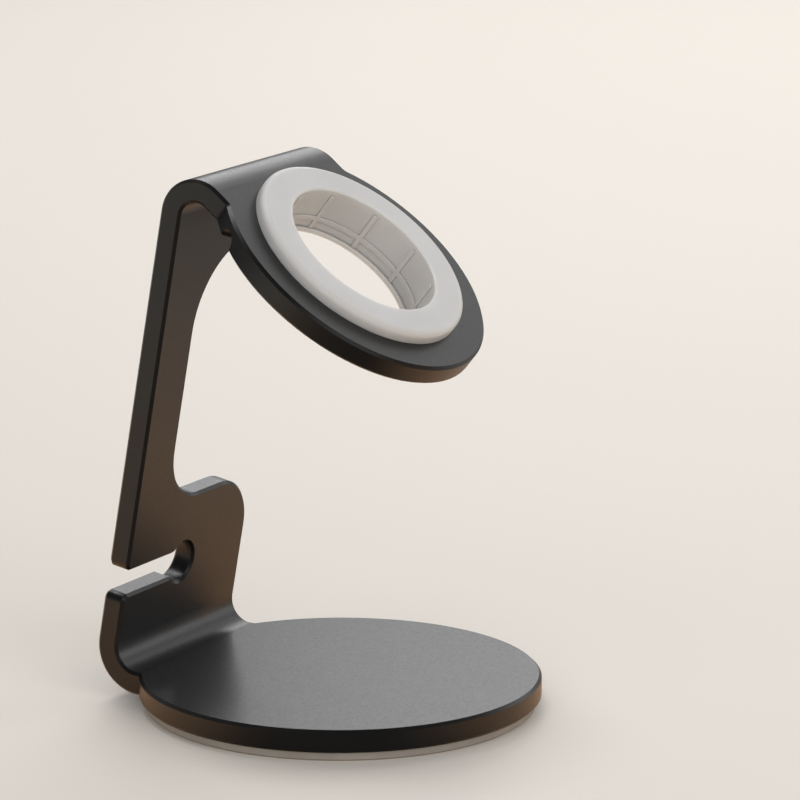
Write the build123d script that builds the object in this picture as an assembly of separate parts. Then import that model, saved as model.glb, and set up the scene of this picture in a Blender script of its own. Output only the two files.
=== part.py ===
from build123d import *
import os
from math import cos, radians, sin, sqrt

# Stand that holds a watch charger. One thick bent plate makes the foot, the leaning upright and the
# sloping head. A soft ring in the head grips the round charger, and a soft pad lies under the foot.
# Millimetres, +Z up. The origin is on the ground under the middle of the foot, and the head faces -Y.

# Plate
plate_thickness = 4.0
edge_chamfer = 0.5
strip_width = 38.0
foot_radius = 35.0
foot_land = 0.6
foot_bend_radius = 4.0
upright_lean = 10.2
upright_length = 78.2
head_bend_radius = 3.0
head_tilt = 38.7
head_bend_gap = 0.5
head_radius = 26.0
head_corner_radius = 1.0

# Cut-out in the right side of the upright, from the shelf up to the flare under the head
neck_width = 10.3
shelf_height = 23.75
shelf_corner_radius = 10.0
neck_foot_radius = 10.0
flare_radius = 14.5
flare_drop = 8.3
flare_corner_radius = 3.0

# Slot and round eye that the cable of the charger clips into
slot_height = 11.1
slot_width = 4.5
slot_corner_radius = 1.5
eye_radius = 3.6
eye_offset = 1.15
eye_corner_radius = 0.8

# Round-topped channel for the cable across the underside of the head and the ring
channel_width = 4.3
channel_depth = 2.4
channel_angle = 149.6

# Soft ring in the head
charger_bore_radius = 14.3
ring_wall = 2.7
ring_hole_clearance = 0.1
ring_flange_radius = 20.3
ring_flange_height = 2.35
ring_flange_rounding = 1.1
ring_mouth_chamfer = 0.25
ring_collar_radius = 18.8
ring_collar_height = 3.2
ring_collar_chamfer = 0.5
ring_lip_width = 0.55
ring_lip_thickness = 0.8

# Ribs along the bore of the ring and a bead round it
rib_count = 10
rib_width = 0.75
rib_depth = 0.2
rib_margin = 1.1
rib_angle = 25.0
bead_level = 4.2
bead_width = 0.9
bead_depth = 0.2

# Pad under the foot
pad_thickness = 1.6
pad_inset = 1.0
pad_chamfer = 0.3

# Places worked out from the sizes
half_width = strip_width / 2
foot_top = pad_thickness + plate_thickness
foot_reach = sqrt(foot_radius**2 - half_width**2) + foot_land
corner_reach = sqrt(head_radius**2 - half_width**2) + 2 * head_corner_radius
ring_reach = max(ring_flange_radius, ring_collar_radius) + head_bend_gap
head_reach = max(corner_reach, ring_reach)
foot_turn = 90 + upright_lean
head_turn = 90 - upright_lean + head_tilt
ring_neck_radius = charger_bore_radius + ring_wall
ring_bottom = plate_thickness + ring_collar_height


def side_run(depth):
    """Foot, foot bend, upright, head bend and head in the side view, at a depth behind the inner faces."""
    foot = Line((-foot_radius, foot_top - depth), (foot_reach, foot_top - depth))
    foot_bend = JernArc(foot @ 1, foot % 1, foot_bend_radius + depth, foot_turn)
    upright = Line(foot_bend @ 1, foot_bend @ 1 + (foot_bend % 1) * upright_length)
    head_bend = JernArc(upright @ 1, upright % 1, head_bend_radius + depth, head_turn)
    head = Line(head_bend @ 1, head_bend @ 1 + (head_bend % 1) * head_reach)
    return [foot, foot_bend, upright, head_bend, head]


def tilted_plane(point, tilt):
    """Plane at a point of the side view, turned about X so that its own Y axis climbs at the tilt."""
    normal = (0, -sin(radians(tilt)), cos(radians(tilt)))
    return Plane(origin=(0, point.X, point.Y), x_dir=(1, 0, 0), z_dir=normal)


inner_run = side_run(0)
middle_run = side_run(plate_thickness / 2)
outer_run = side_run(plate_thickness)
foot_plane = Plane.XY.offset(foot_top)
upright_plane = tilted_plane(inner_run[2] @ 0, foot_turn)
head_plane = tilted_plane(outer_run[4] @ 1, head_tilt)
head_underside = head_plane.offset(-plate_thickness)


def bend(number):
    """One bend of the plate, as wide as the strip."""
    inner = inner_run[number]
    outer = outer_run[number]
    ends = [Line(inner @ 0, outer @ 0), Line(inner @ 1, outer @ 1)]
    section = Plane.YZ * make_face([inner, outer, *ends])
    return extrude(section, half_width, both=True)


def cut_disc(radius, reach):
    """Disc cut square at its reach along Y."""
    kept = Pos(0, reach) * Rectangle(2 * radius, 2 * radius, align=(Align.CENTER, Align.MAX))
    return Circle(radius) & kept


def disc_end(radius, reach):
    """Disc with the strip growing out of it up to where a bend begins."""
    return cut_disc(radius, reach) + Rectangle(strip_width, reach, align=(Align.CENTER, Align.MIN))


def head_outline():
    """Head disc on its strip, with small rounds in the corners where they meet."""
    outline = disc_end(head_radius, head_reach)
    return fillet(outline.vertices().group_by(Axis.Y)[-2], head_corner_radius)


def neck_cutout():
    """Space on the right of the neck, rounded where the shelf and the flare run into it."""
    height = upright_length - flare_drop - shelf_height
    cutout = Rectangle(strip_width, height, align=(Align.MIN, Align.MIN))
    cutout = Pos(neck_width - half_width, shelf_height) * cutout
    cutout = fillet(cutout.vertices().group_by(Axis.X)[0].sort_by(Axis.Y)[0], neck_foot_radius)
    return fillet(cutout.vertices().group_by(Axis.Y)[-1].sort_by(Axis.X)[0], flare_radius)


def cable_slot():
    """Slot that runs in from the left edge and ends in the round eye."""
    slot = Rectangle(strip_width, slot_width, align=(Align.MAX, Align.CENTER))
    opening = Pos(-eye_offset, slot_height) * (slot + Circle(eye_radius))
    return fillet(opening.vertices().group_by(Axis.X)[1], eye_corner_radius)


def upright_outline():
    """Strip with the neck's cut-out on its right and the cable slot on its left."""
    outline = Rectangle(strip_width, upright_length, align=(Align.CENTER, Align.MIN))
    outline -= neck_cutout()
    outline = fillet(outline.vertices().group_by(Axis.X)[-1].sort_by(Axis.Y)[1], shelf_corner_radius)
    outline = fillet(outline.vertices().group_by(Axis.X)[-1].sort_by(Axis.Y)[2], flare_corner_radius)
    outline -= cable_slot()
    return fillet(outline.vertices().group_by(Axis.X)[0].sort_by(Axis.Y)[1:3], slot_corner_radius)


def rim_edges(plate):
    """Edges where the plate's broad faces meet its side walls."""
    middle = Plane.YZ * Wire(middle_run)
    edges = []
    for face in plate.faces():
        centre = face.center()
        off_middle = middle.distance_to((0, centre.Y, centre.Z)) > plate_thickness / 4
        if off_middle and abs(face.normal_at(centre).X) < 0.5:
            edges += face.edges()
    return [edge for edge in edges if sum(edge.is_same(other) for other in edges) == 1]


def cable_channel():
    """Cutter for the channel, from the middle of the head out past its rim and open below."""
    roof_radius = channel_width / 2
    section = Rectangle(channel_width, 2 * ring_bottom, align=(Align.CENTER, Align.MAX))
    section = Pos(0, channel_depth - roof_radius) * (section + Circle(roof_radius))
    outward = head_underside.x_dir.rotate(Axis((0, 0, 0), head_underside.z_dir), channel_angle)
    across = Plane(head_underside.origin, x_dir=outward.cross(-head_underside.z_dir), z_dir=outward)
    return extrude(across * section, 2 * head_radius)


def stand_plate():
    """Foot, upright and head, bent out of one plate."""
    flats = [
        extrude(foot_plane * disc_end(foot_radius, foot_reach), -plate_thickness),
        extrude(upright_plane * upright_outline(), -plate_thickness),
        extrude(head_plane * head_outline(), -plate_thickness),
    ]
    plate = flats[0] + [*flats[1:], bend(1), bend(3)]
    plate = chamfer(rim_edges(plate), edge_chamfer)
    hole = extrude(head_plane * Circle(ring_neck_radius + ring_hole_clearance), -plate_thickness)
    return plate - hole - cable_channel()


def ring_section():
    """Half section of the ring: flange above the head, neck in the hole, collar and inner lip below."""
    tall = ring_flange_height + ring_bottom
    body = Pos(charger_bore_radius, -ring_bottom) * Rectangle(ring_wall, tall, align=(Align.MIN, Align.MIN))
    flange_wide = ring_flange_radius - charger_bore_radius
    flange = Rectangle(flange_wide, ring_flange_height, align=(Align.MIN, Align.MIN))
    flange = Pos(charger_bore_radius, 0) * flange
    collar_wide = ring_collar_radius - charger_bore_radius
    collar = Rectangle(collar_wide, ring_collar_height, align=(Align.MIN, Align.MIN))
    collar = Pos(charger_bore_radius, -ring_bottom) * collar
    lip = Rectangle(ring_lip_width, ring_lip_thickness, align=(Align.MAX, Align.MIN))
    lip = Pos(charger_bore_radius, -ring_bottom) * lip
    section = body + flange + collar + lip
    section = fillet(section.vertices().group_by(Axis.Y)[-1].sort_by(Axis.X)[-1], ring_flange_rounding)
    section = chamfer(section.vertices().group_by(Axis.Y)[-1].sort_by(Axis.X)[0], ring_mouth_chamfer)
    return chamfer(section.vertices().group_by(Axis.Y)[0].sort_by(Axis.X)[-1], ring_collar_chamfer)


def charger_ring():
    """Soft ring that the charger drops into: bead, ribs and lip in its bore, notched below for the cable."""
    ring = revolve(Plane.XZ * ring_section(), Axis.Z)
    bead = Cylinder(ring_neck_radius, bead_width) - Cylinder(charger_bore_radius - bead_depth, bead_width)
    ring += Pos(0, 0, -bead_level) * bead
    rib_top = ring_flange_height - rib_margin
    rib_bottom = ring_lip_thickness - ring_bottom
    rib = Box(ring_wall, rib_width, rib_top - rib_bottom, align=(Align.MIN, Align.CENTER, Align.MIN))
    rib = Pos(charger_bore_radius - rib_depth, 0, rib_bottom) * rib
    ring += [Rot(0, 0, rib_angle + turn * 360 / rib_count) * rib for turn in range(rib_count)]
    return head_plane.location * ring - cable_channel()


def foot_pad():
    """Soft pad under the flat of the foot, set in from its edge."""
    outline = cut_disc(foot_radius - pad_inset, foot_reach - pad_inset)
    pad = extrude(outline, pad_thickness)
    return chamfer(pad.edges().group_by(Axis.Z)[0], pad_chamfer)


os.makedirs("parts", exist_ok=True)
export_step(stand_plate(), "parts/stand_plate.step")
export_step(charger_ring(), "parts/charger_ring.step")
export_step(foot_pad(), "parts/foot_pad.step")
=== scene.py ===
from math import cos, pi, radians, sin

import bpy
from mathutils import Matrix, Vector


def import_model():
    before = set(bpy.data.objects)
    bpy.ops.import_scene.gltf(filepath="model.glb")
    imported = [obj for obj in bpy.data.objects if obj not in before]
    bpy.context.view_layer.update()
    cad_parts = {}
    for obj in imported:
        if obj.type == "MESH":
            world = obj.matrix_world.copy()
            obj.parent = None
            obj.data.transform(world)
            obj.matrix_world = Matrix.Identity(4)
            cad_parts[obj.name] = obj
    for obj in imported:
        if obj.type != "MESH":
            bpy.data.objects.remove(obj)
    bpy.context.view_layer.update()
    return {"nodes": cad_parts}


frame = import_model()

nodes = frame["nodes"]
scene = bpy.context.scene


# Surfaces, with lengths in metres and pairs of values for the low and high ends of a grain

black_coating = {
    "shader": {"IOR": 1.5},
    "fine": {"Scale": 2600, "Detail": 3, "Roughness": 0.6},
    "broad": {"Scale": 60, "Detail": 4, "Roughness": 0.55},
    "colours": ((0.0045, 0.0045, 0.0046), (0.0075, 0.0075, 0.0077)),
    "roughness": (0.3, 0.41),
    "relief": {"Strength": 0.12, "Distance": 0.00008},
}
satin_silicone = {
    "shader": {
        "IOR": 1.41,
        "Subsurface Weight": 0.8,
        "Subsurface Radius": (0.0025, 0.0023, 0.0021),
        "Subsurface Scale": 1.0,
    },
    "fine": {"Scale": 1800, "Detail": 2, "Roughness": 0.5},
    "broad": {"Scale": 70, "Detail": 3, "Roughness": 0.5},
    "colours": ((0.495, 0.491, 0.488), (0.53, 0.526, 0.523)),
    "roughness": (0.38, 0.48),
    "relief": {"Strength": 0.12, "Distance": 0.00005},
    # Painted shade darkens the colour near hollow corners, and a painted highlight lightens it along
    # raised corners
    "corners": (
        {"raised": False, "reach": 0.0006, "scale": 0.68},
        {"raised": True, "reach": 0.0004, "scale": 1.14},
    ),
}
dull_silicone = {
    "shader": {"IOR": 1.41},
    "fine": {"Scale": 1500, "Detail": 2, "Roughness": 0.5},
    "broad": {"Scale": 90, "Detail": 3, "Roughness": 0.5},
    "colours": ((0.24, 0.218, 0.194), (0.29, 0.264, 0.235)),
    "roughness": (0.6, 0.72),
    "relief": {"Strength": 0.2, "Distance": 0.00008},
}
grain_span = (0.3, 0.7)
# Settings of the occlusion that paints shade and highlight at corners
corner_span = (0.45, 0.9)
corner_samples = 8
unit = (0, 1)


# Shading

class Shading:
    """Node tree of one material or world."""

    def __init__(self, owner):
        owner.use_nodes = True
        self.nodes = owner.node_tree.nodes
        self.links = owner.node_tree.links

    def feed(self, node, values):
        """Give inputs of a node plain values or other nodes' outputs."""
        for name, value in values.items():
            if isinstance(value, bpy.types.NodeSocket):
                self.links.new(value, node.inputs[name])
            else:
                node.inputs[name].default_value = value

    def coordinates(self, kind):
        return self.nodes.new("ShaderNodeTexCoord").outputs[kind]

    def grain(self, settings):
        """Noise over the object's own coordinates."""
        noise = self.nodes.new("ShaderNodeTexNoise")
        self.feed(noise, {"Vector": self.coordinates("Object"), **settings})
        return noise.outputs["Fac"]

    def ranged(self, source, span, target):
        """Source carried from one span to another, and held at its ends."""
        low, high = span
        to_low, to_high = target
        node = self.nodes.new("ShaderNodeMapRange")
        self.feed(node, {"Value": source, "From Min": low, "From Max": high})
        self.feed(node, {"To Min": to_low, "To Max": to_high})
        return node.outputs["Result"]

    def blended(self, factor, first, second):
        """Colour between two, each a tuple or another node's output."""
        node = self.nodes.new("ShaderNodeMix")
        node.data_type = "RGBA"
        self.feed(node, {"Factor": factor})
        for name, colour in (("A", first), ("B", second)):
            opaque = (*colour, 1) if isinstance(colour, tuple) else colour
            self.feed(node, {name: opaque})
        return node.outputs["Result"]

    def summed(self, first, second):
        node = self.nodes.new("ShaderNodeMath")
        self.feed(node, {0: first, 1: second})
        return node.outputs["Value"]

    def vector_math(self, operation, values):
        node = self.nodes.new("ShaderNodeVectorMath")
        node.operation = operation
        self.feed(node, values)
        return node.outputs

    def along(self, place, direction):
        """How far a place lies in a direction."""
        return self.vector_math("DOT_PRODUCT", {0: place, 1: direction})["Value"]

    def bumped(self, height, relief):
        node = self.nodes.new("ShaderNodeBump")
        self.feed(node, {"Height": height, **relief})
        return node.outputs["Normal"]

    def paint_corner_shade_and_highlight(self, colour, raised, reach, scale):
        """Colour scaled where a raised or a hollow corner lies within reach: painted shade by hollow
        corners, painted highlight by raised ones.
        """
        corner = self.nodes.new("ShaderNodeAmbientOcclusion")
        corner.samples = corner_samples
        corner.inside = raised
        corner.only_local = True
        self.feed(corner, {"Distance": reach})
        # Occlusion made into painted shade (scale below 1) or painted highlight (scale above 1)
        factor = self.ranged(corner.outputs["AO"], corner_span, (scale, 1))
        return self.vector_math("SCALE", {0: colour, "Scale": factor})["Vector"]

    def seen_by(self, kind, seen, other):
        """One colour for what rays of a kind see, and the other for the rest."""
        return self.blended(self.nodes.new("ShaderNodeLightPath").outputs[kind], other, seen)


def surface(name, shader, fine, broad, colours, roughness, relief, corners=()):
    """Material with a fine grain in its relief and gloss, and a broad one in its colour."""
    material = bpy.data.materials.new(name)
    tree = Shading(material)
    fine_grain = tree.grain(fine)
    broad_grain = tree.ranged(tree.grain(broad), grain_span, unit)
    colour = tree.blended(broad_grain, *colours)
    # Painted shade and painted highlight at corners, where the material lists them
    for corner in corners:
        colour = tree.paint_corner_shade_and_highlight(colour, **corner)
    gloss = tree.ranged(fine_grain, grain_span, roughness)
    normal = tree.bumped(fine_grain, relief)
    inputs = {"Base Color": colour, "Roughness": gloss, "Normal": normal, **shader}
    tree.feed(tree.nodes["Principled BSDF"], inputs)
    return material


def dress(node, material):
    obj = nodes[node]
    obj.data.materials.clear()
    obj.data.materials.append(material)


dress("stand_plate", surface("plate_black", **black_coating))
dress("charger_ring", surface("ring_silicone", **satin_silicone))
dress("foot_pad", surface("pad_silicone", **dull_silicone))


# Directions in the room, seen from the object

rightward = (1, 0, 0)
upward = (0, 0, 1)
back_right = (0.863, 0.504, 0)
back_left = (-0.86, 0.5, 0)
front_left = (-0.863, -0.504, 0)
window_direction = (0.74, 0.5, 0.45)


# Floor, plain to the camera. In reflections it is warm, with a grey right, a pale left and painted
# shade at the front

floor_half_side = 3.0
floor_surface = {"Roughness": 0.6, "Specular IOR Level": 0.2}
plain_floor = (0.74, 0.69, 0.63)
bouncing_floor = (0.95, 0.78, 0.6)
warm_floor = (1.0, 0.6, 0.34)
right_floor = (0.43, 0.42, 0.4)
left_floor = (1.0, 0.97, 0.88)
# Painted shade on the front left of the floor, seen only in reflections
painted_shade_floor = (0.06, 0.04, 0.025)
right_floor_span = (0.05, 0.19)
left_floor_span = (0.05, 0.33)
painted_shade_floor_span = (0.6, 0.92)


def floor():
    half = floor_half_side
    corners = [(-half, -half, 0), (half, -half, 0), (half, half, 0), (-half, half, 0)]
    mesh = bpy.data.meshes.new("floor")
    mesh.from_pydata(corners, [], [(0, 1, 2, 3)])
    obj = bpy.data.objects.new("floor", mesh)
    scene.collection.objects.link(obj)
    material = bpy.data.materials.new("floor_pale")
    tree = Shading(material)
    place = tree.coordinates("Object")
    bearing = tree.vector_math("NORMALIZE", {0: place})["Vector"]
    right = tree.ranged(tree.along(place, rightward), right_floor_span, unit)
    left = tree.ranged(tree.along(place, back_left), left_floor_span, unit)
    # Painted shade: in reflections the floor turns dark toward the front left
    painted_shade = tree.ranged(tree.along(bearing, front_left), painted_shade_floor_span, unit)
    colour = tree.blended(right, warm_floor, right_floor)
    colour = tree.blended(left, colour, left_floor)
    colour = tree.blended(painted_shade, colour, painted_shade_floor)
    colour = tree.seen_by("Is Glossy Ray", colour, bouncing_floor)
    colour = tree.seen_by("Is Camera Ray", plain_floor, colour)
    tree.feed(tree.nodes["Principled BSDF"], {"Base Color": colour, **floor_surface})
    mesh.materials.append(material)


floor()


# World: two pale walls that light the object, and a soft window over a pale horizon in reflections

backdrop = (0.92, 0.91, 0.9)
wall_behind = 1.2
wall_in_front = 1.8
window_strength = 0.19
window_span = (0.3, 0.9)
horizon_strength = 0.09
horizon_span = (0.1, 0.7)


def world():
    sky = bpy.data.worlds.new("studio")
    scene.world = sky
    tree = Shading(sky)
    direction = tree.coordinates("Generated")
    behind = tree.along(direction, back_right)
    behind_light = tree.ranged(behind, (0, 1), (0, wall_behind))
    front_light = tree.ranged(behind, (0, -1), (0, wall_in_front))
    walls = tree.summed(behind_light, front_light)
    window = tree.ranged(tree.along(direction, window_direction), window_span, (0, window_strength))
    horizon = tree.ranged(tree.along(direction, upward), horizon_span, (horizon_strength, 0))
    room = tree.seen_by("Is Glossy Ray", tree.summed(window, horizon), walls)
    room = tree.seen_by("Is Camera Ray", backdrop, room)
    tree.feed(tree.nodes["Background"], {"Color": room})


world()


# Lamps: direction from the object, side of the square and radiance

lamps = {
    "right_softbox": ((0.84, -0.11, 0.53), 0.8, 1.05),
    "low_right_softbox": ((0.84, -0.5, 0.17), 0.45, 2.1),
    "back_softbox": ((0.84, 0.38, 0.4), 0.4, 3.2),
    "crown_softbox": ((0.16, 0.35, 0.92), 0.3, 8.5),
    "eye_softbox": ((0.43, 0.29, 0.85), 0.2, 9),
    "front_softbox": ((-0.25, -0.9, 0.5), 0.8, 0.8),
}
lamp_distance = 1.2
lamp_target = Vector((0, 0, 0.05))


def area_light(name, direction, side, radiance):
    """Square lamp that faces the object."""
    data = bpy.data.lights.new(name, "AREA")
    data.size = side
    data.energy = radiance * side * side * pi
    lamp = bpy.data.objects.new(name, data)
    outward = Vector(direction).normalized()
    lamp.location = lamp_target + outward * lamp_distance
    lamp.rotation_mode = "QUATERNION"
    lamp.rotation_quaternion = outward.to_track_quat("Z", "Y")
    scene.collection.objects.link(lamp)


for name, settings in lamps.items():
    area_light(name, *settings)


# Camera, with its place in millimetres and its lens in pixels

view_azimuth = radians(-59.718)
view_elevation = radians(13.014)
view_roll = radians(0.095)
view_distance = 784.59
aim_right = 10.261
aim_height = 54.059
lens_pixels = 4575.35
frame_pixels = 800
sensor_width = 36
clip_near = 0.01
clip_far = 20
millimetres_per_metre = 1000


def camera():
    ahead = cos(view_elevation)
    forward = Vector((-sin(view_azimuth) * ahead, cos(view_azimuth) * ahead, -sin(view_elevation)))
    level = Vector((cos(view_azimuth), sin(view_azimuth), 0))
    right = level * cos(view_roll) + level.cross(forward) * sin(view_roll)
    aim = level * aim_right + Vector((0, 0, aim_height))
    place = (aim - forward * view_distance) / millimetres_per_metre
    data = bpy.data.cameras.new("camera")
    data.sensor_width = sensor_width
    data.lens = lens_pixels / frame_pixels * sensor_width
    data.clip_start = clip_near
    data.clip_end = clip_far
    obj = bpy.data.objects.new("camera", data)
    turn = Matrix((right, right.cross(forward), -forward)).transposed()
    obj.matrix_world = Matrix.Translation(place) @ turn.to_4x4()
    scene.collection.objects.link(obj)
    scene.camera = obj


camera()
scene.view_settings.view_transform = "Standard"
